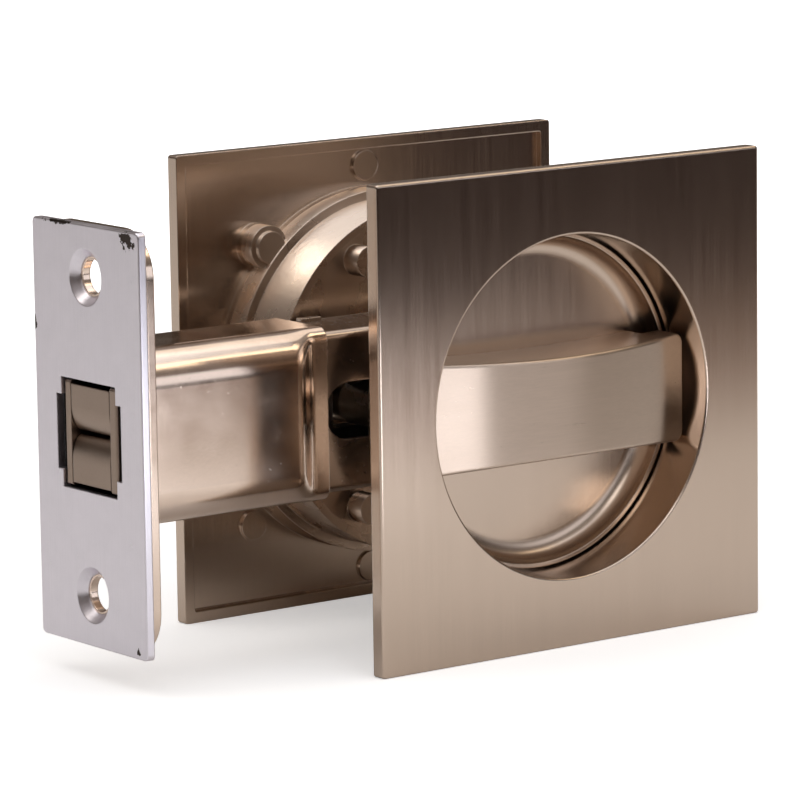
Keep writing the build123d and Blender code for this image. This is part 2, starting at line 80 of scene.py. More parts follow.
# Each lamp's name, its angle to the right of -Y and above the floor in degrees, its distance
# and its size in metres, and its colour. Its brightness is the studio's property of its name.
LAMPS = (
    ("softbox", 28, 11, 1.0, (0.44, 0.38), "#f4f6ff"),
    ("warm_lamp", 60, 44, 1.0, (0.42, 0.25), "#ffeccb"),
    ("rear_lamp", 112, 48, 1.0, (0.5, 0.4), "#fff4e8"),
    ("left_lamp", -11, 36, 1.0, (0.3, 0.3), "#ffffff"),
    ("back_lamp", -122, 58, 1.0, (0.5, 0.4), "#fff6ea"),
    ("overhead", 0, 85, 1.0, (1.3, 1.6), "#f3f8ff"),
    ("card", 4, -7.5, 0.16, (0.056, 0.025), "#eef3ff"),
)

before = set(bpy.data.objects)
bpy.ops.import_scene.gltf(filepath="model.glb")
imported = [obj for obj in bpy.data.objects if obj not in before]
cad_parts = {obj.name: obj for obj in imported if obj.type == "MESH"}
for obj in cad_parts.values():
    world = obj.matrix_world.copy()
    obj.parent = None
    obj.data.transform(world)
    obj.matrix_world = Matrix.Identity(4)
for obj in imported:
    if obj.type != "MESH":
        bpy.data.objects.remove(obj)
cad_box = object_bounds()


def linear(hex_colour):
    """The linear red, green and blue of an sRGB hex colour."""
    parts = [int(hex_colour[i:i + 2], 16) / 255 for i in (1, 3, 5)]
    return [c / 12.92 if c <= 0.04045 else ((c + 0.055) / 1.055) ** 2.4 for c in parts]


# Properties


def colour_property(name, description, hex_colour):
    """A colour that a user can change, its default given as sRGB hex."""
    return FloatVectorProperty(
        name=name, description=description, subtype="COLOR", size=3, min=0, max=1,
        default=linear(hex_colour),
    )


def length_property(name, description, millimetres):
    """A length that a user can change, its default given in millimetres."""
    return FloatProperty(
        name=name, description=description, unit="LENGTH", subtype="DISTANCE", min=0,
        precision=5, default=millimetres * MM,
    )


def brightness_property(name, description, brightness):
    """A lamp's brightness as a mirror shows it, where 1 is white."""
    return FloatProperty(name=name, description=description, default=brightness, min=0)


class LockColours(bpy.types.PropertyGroup):
    """The colour of each finish."""

    nickel: colour_property("Satin nickel", "Brushed plate of the pulls and the turn", "#cfbcab")
    case: colour_property("Case plating", "Bright plating of the drawn case", "#efdac9")
    tail: colour_property("Tail plating", "Plating of the stamped tail", "#bfaea0")
    face: colour_property("Faceplate", "Brushed plating on the door's edge", "#e9e4ea")
    chip: colour_property("Bare steel", "Steel where the faceplate is worn", "#3d332f")
    bolt: colour_property("Cast bolt", "Tumbled metal of hooks and carriage", "#a08e80")
    spring: colour_property("Spring steel", "Blued steel of leaf spring and clips", "#4a4c55")
    zinc: colour_property("Zinc plating", "Bright zinc on screws, pins and the drive", "#c4c6c4")
    nylon: colour_property("Nylon", "Black moulded nylon of the guides", "#16171a")
    paper: colour_property("Paper", "The studio's floor", "#f2f1ef")


class LockSizes(bpy.types.PropertyGroup):
    """The real sizes that the finishes and the screws are drawn to."""

    # A real belt's scratches are some 0.03 mm wide, which is too fine to show at the
    # camera's distance, so they are drawn as wide as one and a half pixels.
    grain_width: length_property("Grain width", "Width of one brushed scratch", 0.22)
    grain_length: length_property("Grain length", "Length of one brushed scratch", 12)
    edge_radius: length_property("Edge radius", "Softness of a rolled or tumbled edge", 0.24)
    thread_pitch: length_property("Thread pitch", "Pitch of the fixing screws", 0.7)
    thread_depth: length_property("Thread depth", "Depth of the fixing screws' thread", 0.38)
    thread_sides: IntProperty(
        name="Thread sides", description="Facets round a screw", default=48, min=12, max=96,
    )


class LockStudio(bpy.types.PropertyGroup):
    """Where the camera stands, and how bright the studio is."""

    azimuth: FloatProperty(
        name="Azimuth", description="How far the camera looks to the right of +Y",
        unit="ROTATION", subtype="ANGLE", default=radians(36.95),
    )
    elevation: FloatProperty(
        name="Elevation", description="How far the camera looks down",
        unit="ROTATION", subtype="ANGLE", default=radians(9.46),
    )
    roll: FloatProperty(
        name="Roll", description="How far the camera leans",
        unit="ROTATION", subtype="ANGLE", default=radians(-0.815),
    )
    distance: length_property("Distance", "From the camera to the lock", 679.5)
    focal_length: FloatProperty(
        name="Focal length", description="The lens, in millimetres on a 36 mm sensor",
        default=221.53, min=10,
    )
    softbox: brightness_property("Softbox", "The large lamp in front on the right", 1.05)
    overhead: brightness_property("Overhead", "The lamp over the lock", 1.12)
    warm_lamp: brightness_property("Warm lamp", "The lamp high on the right", 1.7)
    rear_lamp: brightness_property("Rear lamp", "The lamp behind on the right", 0.75)
    left_lamp: brightness_property("Left lamp", "The small lamp high on the left", 2.0)
    back_lamp: brightness_property("Back lamp", "The lamp high behind on the left", 1.5)
    card: brightness_property("Card", "The lit card close in front", 5.5)


# Meshes


def grid_mesh(name, points):
    """A mesh from grids of points, each rows by columns, whose rows are closed round.

    Each cell between two rows is a quad. A first or last row whose points all lie
    together is a pole: the piece merges its doubles, so the surface closes there.
    """
    index = np.arange(points[..., 0].size).reshape(points.shape[:3])
    after = np.roll(index, -1, axis=2)
    quads = np.stack([index[:, :-1], after[:, :-1], after[:, 1:], index[:, 1:]], axis=-1)
    mesh = bpy.data.meshes.new(name)
    mesh.from_pydata(points.reshape(-1, 3), [], quads.reshape(-1, 4))
    return mesh


# Materials


def add(tree, kind, values=None, links=None, **settings):
    """Adds a shader node with its settings, its sockets' values and its links.

    Sockets that share a name are told apart by number. A mix takes its share at 0, and what
    it mixes at 2 and 3 if they are numbers, or at 6 and 7 if they are colours.
    """
    made = tree.nodes.new("ShaderNode" + kind)
    for name, value in settings.items():
        setattr(made, name, value)
    for socket, value in (values or {}).items():
        made.inputs[socket].default_value = value
    for socket, source in (links or {}).items():
        tree.links.new(source, made.inputs[socket])
    return made.outputs


def begin(name):
    """A new material with an empty node tree."""
    material = bpy.data.materials.new(name)
    material.use_nodes = True
    material.node_tree.nodes.clear()
    return material, material.node_tree


def pattern(tree, size, detail=2.0, roughness=0.5):
    """Noise from 0 to 1 whose features measure size, three lengths in metres."""
    place = add(tree, "TexCoord")["Object"]
    mapped = add(tree, "Mapping", {"Scale": [1 / s for s in size]}, {"Vector": place})["Vector"]
    settings = {"Scale": 1.0, "Detail": detail, "Roughness": roughness}
    return add(tree, "TexNoise", settings, {"Vector": mapped})[0]


def scratch_size(sizes, grain):
    """The three lengths of one brushed scratch that runs along the grain, an axis."""
    return [sizes.grain_length if part else sizes.grain_width for part in grain]


def streaks(tree, sizes, grain):
    """Fine brushed scratches that run along the grain, an axis."""
    return pattern(tree, scratch_size(sizes, grain), detail=3.0, roughness=0.65)


def shaded(colour, factor):
    """A colour made darker or lighter by a factor, with full opacity."""
    return [*(min(1.0, c * factor) for c in colour), 1]


def across_grain(tree, blur):
    """The direction in which a brushed surface spreads its highlights.

    On the faces that look through the door it is blur, at right angles to the grain, and
    elsewhere it is Y. It turns with the piece.
    """
    normal = add(tree, "NewGeometry")["Normal"]
    facing = add(tree, "SeparateXYZ", links={"Vector": normal})["Y"]
    size = add(tree, "Math", links={0: facing}, operation="ABSOLUTE")[0]
    flat = add(tree, "Math", {1: 0.7}, {0: size}, operation="GREATER_THAN")[0]
    parts = {}
    for name, part in zip("XZ", (blur[0], blur[2])):
        parts[name] = add(tree, "Math", {1: float(part)}, {0: flat}, operation="MULTIPLY")[0]
    parts["Y"] = add(tree, "Math", {0: 1.0}, {1: flat}, operation="SUBTRACT")[0]
    direction = add(tree, "CombineXYZ", links=parts)["Vector"]
    return add(
        tree, "VectorTransform", links={"Vector": direction},
        vector_type="VECTOR", convert_from="OBJECT", convert_to="WORLD",
    )["Vector"]


def surface(tree, values, links):
    """The shader and the output of a material."""
    shader = add(tree, "BsdfPrincipled", values, links)["BSDF"]
    add(tree, "OutputMaterial", links={"Surface": shader})


def regions(tree, axis_x, seat, bore, floor, curve):
    """Where a turned or a cast finish takes the place of the brushed one, each 0 or 1.

    All depths are distances from the door's middle. The piece is turned between the radii
    curve and bore round its axis, from the front in to the floor. Deeper than the seat it is
    cast elsewhere. The third output is a pattern of fine rings round the axis. The fourth
    leans the normals of the cast walls towards the door's middle, as a casting's draft does.
    """
    ring_width = 0.35 * MM  # real turning marks are a third of this, too fine to show
    draft_lean = 0.36
    place = add(tree, "TexCoord")["Object"]
    moved = add(tree, "VectorMath", {1: (-axis_x, 0, 0)}, {0: place}, operation="ADD")[0]
    flat = add(tree, "VectorMath", {1: (1, 0, 1)}, {0: moved}, operation="MULTIPLY")[0]
    radius = add(tree, "VectorMath", links={0: flat}, operation="LENGTH")["Value"]
    y = add(tree, "SeparateXYZ", links={"Vector": place})["Y"]
    height = add(tree, "Math", links={0: y}, operation="ABSOLUTE")[0]
    deep = add(
        tree, "MapRange", {"From Min": seat - 0.2 * MM, "From Max": seat, **FALLING},
        {"Value": height},
    )["Result"]
    inside = add(
        tree, "MapRange", {"From Min": bore, "From Max": bore + 0.3 * MM, **FALLING},
        {"Value": radius},
    )["Result"]
    shallow = add(
        tree, "MapRange", {"From Min": floor - 0.6 * MM, "From Max": floor - 0.5 * MM},
        {"Value": height},
    )["Result"]
    beyond = add(
        tree, "MapRange", {"From Min": curve, "From Max": curve + 0.1 * MM}, {"Value": radius},
    )["Result"]
    recess = add(tree, "Math", links={0: inside, 1: shallow}, operation="MULTIPLY")[0]
    turned = add(tree, "Math", links={0: recess, 1: beyond}, operation="MULTIPLY")[0]
    outside = add(tree, "Math", {0: 1.0}, {1: recess}, operation="SUBTRACT")[0]
    cast = add(tree, "Math", links={0: deep, 1: outside}, operation="MULTIPLY")[0]
    lines = add(tree, "CombineXYZ", links={"X": radius, "Y": height})["Vector"]
    rings = add(
        tree, "TexNoise", {"Scale": 1 / ring_width, "Detail": 2.0, "Roughness": 0.5},
        {"Vector": lines},
    )[0]
    side = add(tree, "Math", links={0: y}, operation="SIGN")[0]
    lean = add(tree, "Math", {1: -draft_lean}, {0: side}, operation="MULTIPLY")[0]
    drafted = add(tree, "Math", links={0: lean, 1: cast}, operation="MULTIPLY")[0]
    draft = add(tree, "CombineXYZ", links={"Y": drafted})["Vector"]
    return turned, cast, rings, draft


def satin_nickel(name, colour, sizes, grain, blur, roughness, where=None, turned_roughness=0.2):
    """Nickel plate over brushed brass: a belt leaves long straight scratches, which spread
    highlights into bands across the grain. Recesses are turned, so they are glossier with
    faint rings, and the backs are as cast, dull and finely pebbled under the plate."""
    scratch_depth, pebble_depth = 0.006 * MM, 0.09 * MM
    material, tree = begin(name)
    relief = scratches = streaks(tree, sizes, grain)
    broad = pattern(tree, [8 * size for size in scratch_size(sizes, grain)])
    tone = add(tree, "Math", {1: 0.5}, {0: broad, 2: scratches}, operation="MULTIPLY_ADD")[0]
    tones = {"From Min": 0.45, "From Max": 1.05}
    rough = add(
        tree, "MapRange", {**tones, "To Min": roughness - 0.03, "To Max": roughness + 0.03},
        {"Value": tone},
    )["Result"]
    normal = add(tree, "Bevel", {"Radius": sizes.edge_radius}, samples=EDGE_SAMPLES)["Normal"]
    varied, depth = {}, {}
    if where:
        turned, cast, rings, draft = regions(tree, *where)
        pebbles = pattern(tree, [1.1 * MM] * 3, detail=3.0, roughness=0.55)
        clouds = pattern(tree, [7 * MM] * 3, detail=3.0)
        dull = add(
            tree, "MapRange", {"From Min": 0.3, "From Max": 0.7, "To Min": 0.2, "To Max": 0.36},
            {"Value": clouds},
        )["Result"]
        depth["Distance"] = add(tree, "Mix", {2: scratch_depth, 3: pebble_depth}, {0: cast})[0]
        smooth = add(tree, "Mix", {3: turned_roughness}, {0: turned, 2: rough})[0]
        rough = add(tree, "Mix", links={0: cast, 2: smooth, 3: dull})[0]
        plain = add(tree, "Math", links={0: turned, 1: cast}, operation="MAXIMUM")[0]
        varied["Anisotropic"] = add(
            tree, "MapRange", {"To Min": BRUSHED_SPREAD, "To Max": 0.0}, {"Value": plain},
        )["Result"]
        tone = add(tree, "Mix", {3: 0.75}, {0: plain, 2: tone})[0]
        marks = add(tree, "Mix", links={0: turned, 2: scratches, 3: rings})[0]
        relief = add(tree, "Mix", links={0: cast, 2: marks, 3: pebbles})[0]
        leaned = add(tree, "VectorMath", links={0: normal, 1: draft}, operation="ADD")[0]
        normal = add(tree, "VectorMath", links={0: leaned}, operation="NORMALIZE")[0]
    share = add(tree, "MapRange", tones, {"Value": tone})["Result"]
    tint = add(
        tree, "Mix", {6: shaded(colour, 0.95), 7: shaded(colour, 1.04)}, {0: share},
        data_type="RGBA",
    )[2]
    bump = add(
        tree, "Bump", {"Strength": 0.3, "Distance": scratch_depth},
        {"Height": relief, "Normal": normal, **depth},
    )["Normal"]
    surface(tree, {"Metallic": 1.0, "Anisotropic": BRUSHED_SPREAD}, {
        "Base Color": tint, "Roughness": rough, "Normal": bump,
        "Tangent": across_grain(tree, blur), **varied,
    })
    return material


def plated_steel(name, colour, sizes, roughness, pebble, depth, speck_share=0.0):
    """Plate or bluing over drawn, stamped or cast steel: the metal's fine pebble shows through
    as a soft shimmer, with a few dull specks where the plating took badly."""
    material, tree = begin(name)
    pebbles = pattern(tree, [pebble] * 3, detail=3.0, roughness=0.6)
    clouds = pattern(tree, [9 * MM] * 3, detail=4.0)
    specks = pattern(tree, [0.55 * MM] * 3, detail=1.0)
    dull = add(
        tree, "MapRange", {"From Min": 0.70 - speck_share, "From Max": 0.76 - speck_share},
        {"Value": specks},
    )["Result"]
    tone = add(tree, "Math", {1: 0.45}, {0: pebbles, 2: clouds}, operation="MULTIPLY_ADD")[0]
    share = add(tree, "MapRange", {"From Min": 0.4, "From Max": 1.0}, {"Value": tone})["Result"]
    tint = add(
        tree, "Mix", {6: shaded(colour, 0.92), 7: shaded(colour, 1.05)}, {0: share},
        data_type="RGBA",
    )[2]
    rough = add(tree, "MapRange", {
        "From Min": 0.3, "From Max": 0.7, "To Min": roughness - 0.05, "To Max": roughness + 0.06,
    }, {"Value": clouds})["Result"]
    worn = add(tree, "Math", {1: 0.08}, {0: dull, 2: rough}, operation="MULTIPLY_ADD")[0]
    edges = add(tree, "Bevel", {"Radius": sizes.edge_radius}, samples=EDGE_SAMPLES)["Normal"]
    bump = add(
        tree, "Bump", {"Strength": 0.5, "Distance": depth}, {"Height": pebbles, "Normal": edges},
    )["Normal"]
    surface(tree, {"Metallic": 1.0}, {"Base Color": tint, "Roughness": worn, "Normal": bump})
    return material


def chipped(tree, centre, size, ragged):
    """A patch where plating is gone, 1 inside and 0 outside.

    It is an ellipsoid of three half sizes round a centre, whose edge a pattern makes ragged.
    """
    place = add(tree, "TexCoord")["Object"]
    moved = add(tree, "VectorMath", {1: centre}, {0: place}, operation="SUBTRACT")[0]
    measured = add(
        tree, "VectorMath", {1: [1 / s for s in size]}, {0: moved}, operation="MULTIPLY",
    )[0]
    away = add(tree, "VectorMath", links={0: measured}, operation="LENGTH")["Value"]
    uneven = add(tree, "Math", {1: 4.0}, {0: ragged, 2: away}, operation="MULTIPLY_ADD")[0]
    return add(
        tree, "MapRange", {"From Min": 2.9, "From Max": 3.0, **FALLING}, {"Value": uneven},
    )["Result"]


def worn_faceplate(name, colour, chip, sizes):
    """Brushed nickel on the door's edge, worn by the door: its front edges are rubbed through
    to dark steel in places, and fine dents and specks dot the face."""
    material, tree = begin(name)
    scratches = streaks(tree, sizes, Z_AXIS)
    clouds = pattern(tree, [6 * MM] * 3, detail=4.0, roughness=0.6)
    specks = pattern(tree, [0.5 * MM] * 3, detail=2.0)
    pits = add(
        tree, "MapRange", {"From Min": 0.68, "From Max": 0.74}, {"Value": specks},
    )["Result"]
    ragged = pattern(tree, [1.2 * MM] * 3, detail=3.0, roughness=0.6)
    tone = add(tree, "Math", {1: 0.6}, {0: scratches, 2: clouds}, operation="MULTIPLY_ADD")[0]
    tones = {"From Min": 0.5, "From Max": 1.1}
    share = add(tree, "MapRange", tones, {"Value": tone})["Result"]
    tint = add(
        tree, "Mix", {6: shaded(colour, 0.93), 7: shaded(colour, 1.04)}, {0: share},
        data_type="RGBA",
    )[2]
    front, chip_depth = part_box("trim_plate")[0].x, 0.6 * MM
    for y, z, wide, tall in FACE_CHIPS:
        spot = chipped(
            tree, (front, y * MM, z * MM), (chip_depth, wide * MM, tall * MM), ragged,
        )
        tint = add(tree, "Mix", {7: (*chip, 1)}, {0: spot, 6: tint}, data_type="RGBA")[2]
    rough = add(
        tree, "MapRange", {**tones, "To Min": 0.26, "To Max": 0.38}, {"Value": tone},
    )["Result"]
    worn = add(tree, "Math", {1: 0.15}, {0: pits, 2: rough}, operation="MULTIPLY_ADD")[0]
    edges = add(tree, "Bevel", {"Radius": sizes.edge_radius}, samples=EDGE_SAMPLES)["Normal"]
    bump = add(
        tree, "Bump", {"Strength": 0.5, "Distance": 0.02 * MM}, {"Height": tone, "Normal": edges},
    )["Normal"]
    surface(tree, {"Metallic": 1.0, "Anisotropic": 0.3}, {
        "Base Color": tint, "Roughness": worn, "Normal": bump,
    })
    return material


def moulded_nylon(name, colour):
    """Black nylon from a spark-eroded mould: an even fine texture with a low, broad gloss."""
    material, tree = begin(name)
    grit = pattern(tree, [0.12 * MM] * 3)  # a real mould's grit is half as coarse
    tint = add(
        tree, "Mix", {6: shaded(colour, 0.8), 7: shaded(colour, 1.3)}, {0: grit},
        data_type="RGBA",
    )[2]
    rough = add(tree, "MapRange", {"To Min": 0.42, "To Max": 0.55}, {"Value": grit})["Result"]
    bump = add(tree, "Bump", {"Strength": 0.3, "Distance": 0.01 * MM}, {"Height": grit})["Normal"]
    surface(tree, {"IOR": 1.53}, {"Base Color": tint, "Roughness": rough, "Normal": bump})
    return material


def recess_places():
    """The turn's axis, and a pull's seat, bore and floor, as the regions take them."""
    plate_thickness, recess_radius, recess_depth = 2.2 * MM, 23.8 * MM, 11.7 * MM
    low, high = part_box("front_pull")
    front = -low.y
    return (low.x + high.x) / 2, front - plate_thickness, recess_radius, front - recess_depth


def dress(material, *names):
    """Gives CAD nodes their finish."""
    for name in names:
        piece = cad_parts[name]
        piece.data.materials.clear()
        piece.data.materials.append(material)


# Pieces


def screw_surface(sizes):
    """A countersunk screw with a hexagon recess, along +Y with its head at the far end.

    The surface is a function of an angle and a step along the outline. From the recess's
    floor the radius is a hexagon, the recess's side over the cosine of the angle from its
    nearest flat; from the rim on it is round: the head's cone, then the thread, whose
    radius falls from crest to root and back as a triangle wave of length less pitches
    turned, and at last the tip's small cone. First and last rows are poles.
    """
    low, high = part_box("mounting_screws")
    head_radius, rim, neck = (high.z - low.z) / 2, high.y - 0.15 * MM, high.y - 2.0 * MM
    shank_radius, tip_length, tip_share = 2.0 * MM, 0.5 * MM, 0.9
    recess_radius, recess_floor = 1.3 * MM, high.y - 1.3 * MM
    steps_per_turn = 8
    angle = np.arange(sizes.thread_sides) * 2 * np.pi / sizes.thread_sides
    from_flat = (angle + np.pi / 6) % (np.pi / 3) - np.pi / 6
    hexagon = recess_radius / np.cos(from_flat)
    circle = np.ones_like(angle)
    steps = int((neck - low.y) / sizes.thread_pitch * steps_per_turn)
    along = np.linspace(neck, low.y + tip_length, steps)[1:]
    turned = (along[:, None] / sizes.thread_pitch - angle[None, :] / (2 * np.pi)) % 1.0
    wave = np.abs(2 * turned - 1)
    fade = np.clip((neck - along) / (2 * sizes.thread_pitch), 0, 1)[:, None]
    thread = shank_radius - sizes.thread_depth * fade * wave
    tip_radius = (shank_radius - sizes.thread_depth) * tip_share
    y = np.concatenate([
        [recess_floor, recess_floor, high.y, high.y, rim, neck], along, [low.y, low.y],
    ])
    radius = np.concatenate([
        [0 * circle, hexagon, hexagon, head_radius * circle, head_radius * circle],
        [shank_radius * circle], thread, [tip_radius * circle, 0 * circle],
    ])
    return y, angle, radius


def build_screws(sizes, material):
    """Both fixing screws, with threads, in place of the plain ones.

    Each point stands at its radius and angle round the screw's axis, X and Z being the
    radius times the angle's cosine and sine.
    """
    low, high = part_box("mounting_screws")
    y, angle, radius = screw_surface(sizes)
    head_width = high.z - low.z
    middle, reach = (low.x + high.x) / 2, (high.x - low.x - head_width) / 2
    across, along, up = np.broadcast_arrays(
        radius * np.cos(angle), y[:, None], radius * np.sin(angle),
    )
    places = [middle - reach, middle + reach]
    points = np.stack([np.stack([x + across, along, up], axis=-1) for x in places])
    mesh = grid_mesh("threaded_screws", points)
    mesh.materials.append(material)
    piece = bpy.data.objects.new("threaded_screws", mesh)
    bpy.context.collection.objects.link(piece)
    weld = piece.modifiers.new("Closed poles", "WELD")
    weld.merge_threshold = 0.001 * MM
    mesh.shade_smooth()
    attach(piece, "base")
    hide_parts("mounting_screws")


# Studio


def lamp(name, azimuth, elevation, distance, size, brightness, colour, target):
    """A rectangular softbox, placed by its angle to the right of -Y and above the floor.

    Its power is its brightness times its area times pi, so that a brightness of 1 is white
    in a mirror. The camera doesn't see it.
    """
    data = bpy.data.lights.new(name, "AREA")
    data.shape = "RECTANGLE"
    data.size, data.size_y = size
    data.energy = brightness * np.pi * size[0] * size[1]
    data.color = colour
    light = bpy.data.objects.new(name, data)
    bpy.context.collection.objects.link(light)
    a, e = radians(azimuth), radians(elevation)
    away = Vector((sin(a) * cos(e), -cos(a) * cos(e), sin(e)))
    light.location = Vector(target) + away * distance
    light.rotation_mode = "QUATERNION"
    light.rotation_quaternion = (-away).to_track_quat("-Z", "Y")
    light.visible_camera = False


def ray_kinds(tree):
    """1 where the camera looks straight, and 1 where it looks by way of metal or glass."""
    path = add(tree, "LightPath")
    mirrored = add(
        tree, "Math", links={0: path["Is Glossy Ray"], 1: path["Is Transmission Ray"]},
        operation="MAXIMUM",
    )[0]
    return path["Is Camera Ray"], mirrored


def build_world():
    """White for the camera, and the room that the metal sees.

    Behind the lock the room is the white backdrop, for mirrors too. In front it is a dark
    warm room near the horizon that grows paler towards the ceiling.
    """
    world = bpy.data.worlds.new("Studio")
    world.use_nodes = True
    tree = world.node_tree
    tree.nodes.clear()
    direction = add(tree, "TexCoord")["Generated"]
    parts = add(tree, "SeparateXYZ", links={"Vector": direction})
    ramp = tree.nodes.new("ShaderNodeValToRGB")
    stops = [(0.0, "#3c342e"), (0.25, "#4a4038"), (0.6, "#8c8480"), (1.0, "#a8a4a4")]
    while len(ramp.color_ramp.elements) < len(stops):
        ramp.color_ramp.elements.new(0.5)
    for element, (place, colour) in zip(ramp.color_ramp.elements, stops):
        element.position = place
        element.color = (*linear(colour), 1)
    tree.links.new(parts["Z"], ramp.inputs["Fac"])
    direct, mirrored = ray_kinds(tree)
    behind = add(
        tree, "MapRange", {"From Min": 0.3, "From Max": 0.7}, {"Value": parts["Y"]},
    )["Result"]
    low = add(
        tree, "MapRange", {"From Min": 0.0, "From Max": 0.08, **FALLING}, {"Value": parts["Z"]},
    )["Result"]
    backdrop = add(tree, "Math", links={0: behind, 1: low}, operation="MULTIPLY")[0]
    seen = add(tree, "Math", links={0: mirrored, 1: backdrop}, operation="MULTIPLY")[0]
    white = add(tree, "Math", links={0: direct, 1: seen}, operation="MAXIMUM")[0]
    tint = add(
        tree, "Mix", {7: (1, 1, 1, 1)}, {0: white, 6: ramp.outputs["Color"]}, data_type="RGBA",
    )[2]
    background = add(tree, "Background", {"Strength": 1.0}, {"Color": tint})[0]
    add(tree, "OutputWorld", links={"Surface": background})
    bpy.context.scene.world = world


def build_floor(paper):
    """A sheet of matt white paper under the lock.

    The camera sees it a little brighter than it is lit, so that it ends white and keeps the
    lock's shadow, and more so far away. In mirrors it is as it is lit near the lock; in front,
    some hand's breadths away, mirrors see painted shade, brown and then dark, in place of floor
    that the lamps light less.
    """
    low, high = cad_box
    reach = 3.0
    middle = ((low.x + high.x) / 2, 0.0)
    sides = np.array([(-1, -1), (1, -1), (1, 1), (-1, 1)]) * reach + middle
    corners = np.column_stack([sides, np.full(4, low.z)])
    mesh = bpy.data.meshes.new("floor")
    mesh.from_pydata(corners, [], [(0, 1, 2, 3)])
    material, tree = begin("Matt white paper")
    place = add(tree, "TexCoord")["Object"]
    parts = add(tree, "SeparateXYZ", links={"Vector": place})
    fibres = pattern(tree, [0.4 * MM] * 3)
    # Depths in front of the lock where the painted shade in reflections turns brown, then dark.
    paper_to, brown_shade_at, dark_shade_from = -0.13, -0.2, -0.3
    near = add(
        tree, "MapRange", {"From Min": paper_to, "From Max": brown_shade_at}, {"Value": parts["Y"]},
    )["Result"]
    far = add(
        tree, "MapRange", {"From Min": brown_shade_at, "From Max": dark_shade_from}, {"Value": parts["Y"]},
    )["Result"]
    direct, mirrored = ray_kinds(tree)
    # Shares of painted shade, which only mirrors see: brown, then dark.
    brown = add(tree, "Math", links={0: mirrored, 1: near}, operation="MULTIPLY")[0]
    dark = add(tree, "Math", links={0: mirrored, 1: far}, operation="MULTIPLY")[0]
    # Painted shade in reflections: brown, then dark, in front of the lock.
    tint = add(
        tree, "Mix", {6: (*paper, 1), 7: (*linear("#948074"), 1)}, {0: brown}, data_type="RGBA",
    )[2]
    tint = add(
        tree, "Mix", {7: (*linear("#24120a"), 1)}, {0: dark, 6: tint}, data_type="RGBA",
    )[2]
    bump = add(tree, "Bump", {"Strength": 0.1, "Distance": 0.02 * MM}, {"Height": fibres})["Normal"]
    matt = add(
        tree, "BsdfPrincipled", {"Roughness": 0.9, "Specular IOR Level": 0.1},
        {"Base Color": tint, "Normal": bump},
    )["BSDF"]
    away = add(tree, "VectorMath", links={0: place}, operation="LENGTH")["Value"]
    growth = add(
        tree, "MapRange", {"From Min": 0.12, "From Max": 0.5, "To Min": 0.45, "To Max": 1.0},
        {"Value": away},
    )["Result"]
    lift = add(tree, "Math", links={0: direct, 1: growth}, operation="MULTIPLY")[0]
    glow = add(tree, "Emission", {"Color": (1, 1, 1, 1)}, {"Strength": lift})["Emission"]
    both = add(tree, "AddShader", links={0: matt, 1: glow})[0]
    add(tree, "OutputMaterial", links={"Surface": both})
    mesh.materials.append(material)
    floor = bpy.data.objects.new("floor", mesh)
    bpy.context.collection.objects.link(floor)


def build_camera(studio):
    """The camera, aimed past a point of the latch between the pulls."""
    aim_depth, aim_right, aim_up = 40 * MM, 9.52 * MM, 0.56 * MM
    a, e, r = studio.azimuth, studio.elevation, studio.roll
    forward = Vector((sin(a) * cos(e), cos(a) * cos(e), -sin(e)))
    level = Vector((cos(a), -sin(a), 0))
    upright = level.cross(forward)
    right = level * cos(r) + upright * sin(r)
    up = upright * cos(r) - level * sin(r)
    latch = Vector((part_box("trim_plate")[0].x + aim_depth, 0, 0))
    looked_at = latch + right * aim_right + up * aim_up
    data = bpy.data.cameras.new("Camera")
    data.lens = studio.focal_length
    data.sensor_width = 36  # millimetres
    data.clip_start = 0.01
    data.clip_end = 50
    camera = bpy.data.objects.new("Camera", data)
    bpy.context.collection.objects.link(camera)
    turned = Matrix((right, up, -forward)).transposed().to_4x4()
    camera.matrix_world = Matrix.Translation(looked_at - forward * studio.distance) @ turned
    bpy.context.scene.camera = camera


# Operators


class LOCK_OT_pulls(bpy.types.Operator):
    """Gives both pulls their brushed satin nickel"""

    bl_idname = "lock.pulls"
    bl_label = "Pulls"

    def execute(self, context):
        scene = context.scene
        nickel = satin_nickel(
            "Brushed satin nickel pull", scene.lock_colours.nickel, scene.lock_sizes,
            grain=Z_AXIS, blur=X_AXIS, roughness=0.21, where=(*recess_places(), 0.0),
            turned_roughness=0.17,
        )
        dress(nickel, "front_pull", "rear_pull")
        return {"FINISHED"}


class LOCK_OT_turn(bpy.types.Operator):
    """Gives the turn and the release button their brushed satin nickel"""

    bl_idname = "lock.turn"
    bl_label = "Turn and release"

    def execute(self, context):
        colours, sizes = context.scene.lock_colours, context.scene.lock_sizes
        dish_curve, dish_depth = 4 * MM, 6 * MM
        axis_x, seat, bore, floor = recess_places()
        upright = satin_nickel(
            "Brushed satin nickel dish", colours.nickel, sizes,
            grain=Z_AXIS, blur=X_AXIS, roughness=0.24,
            where=(axis_x, seat, bore, floor - dish_depth, bore - dish_curve),
            turned_roughness=0.26,
        )
        dress(upright, "turn_dish", "release_button")
        lengthwise = satin_nickel(
            "Brushed satin nickel bar", colours.nickel, sizes,
            grain=X_AXIS, blur=Z_AXIS, roughness=0.3,
        )
        dress(lengthwise, "turn_bar")
        return {"FINISHED"}


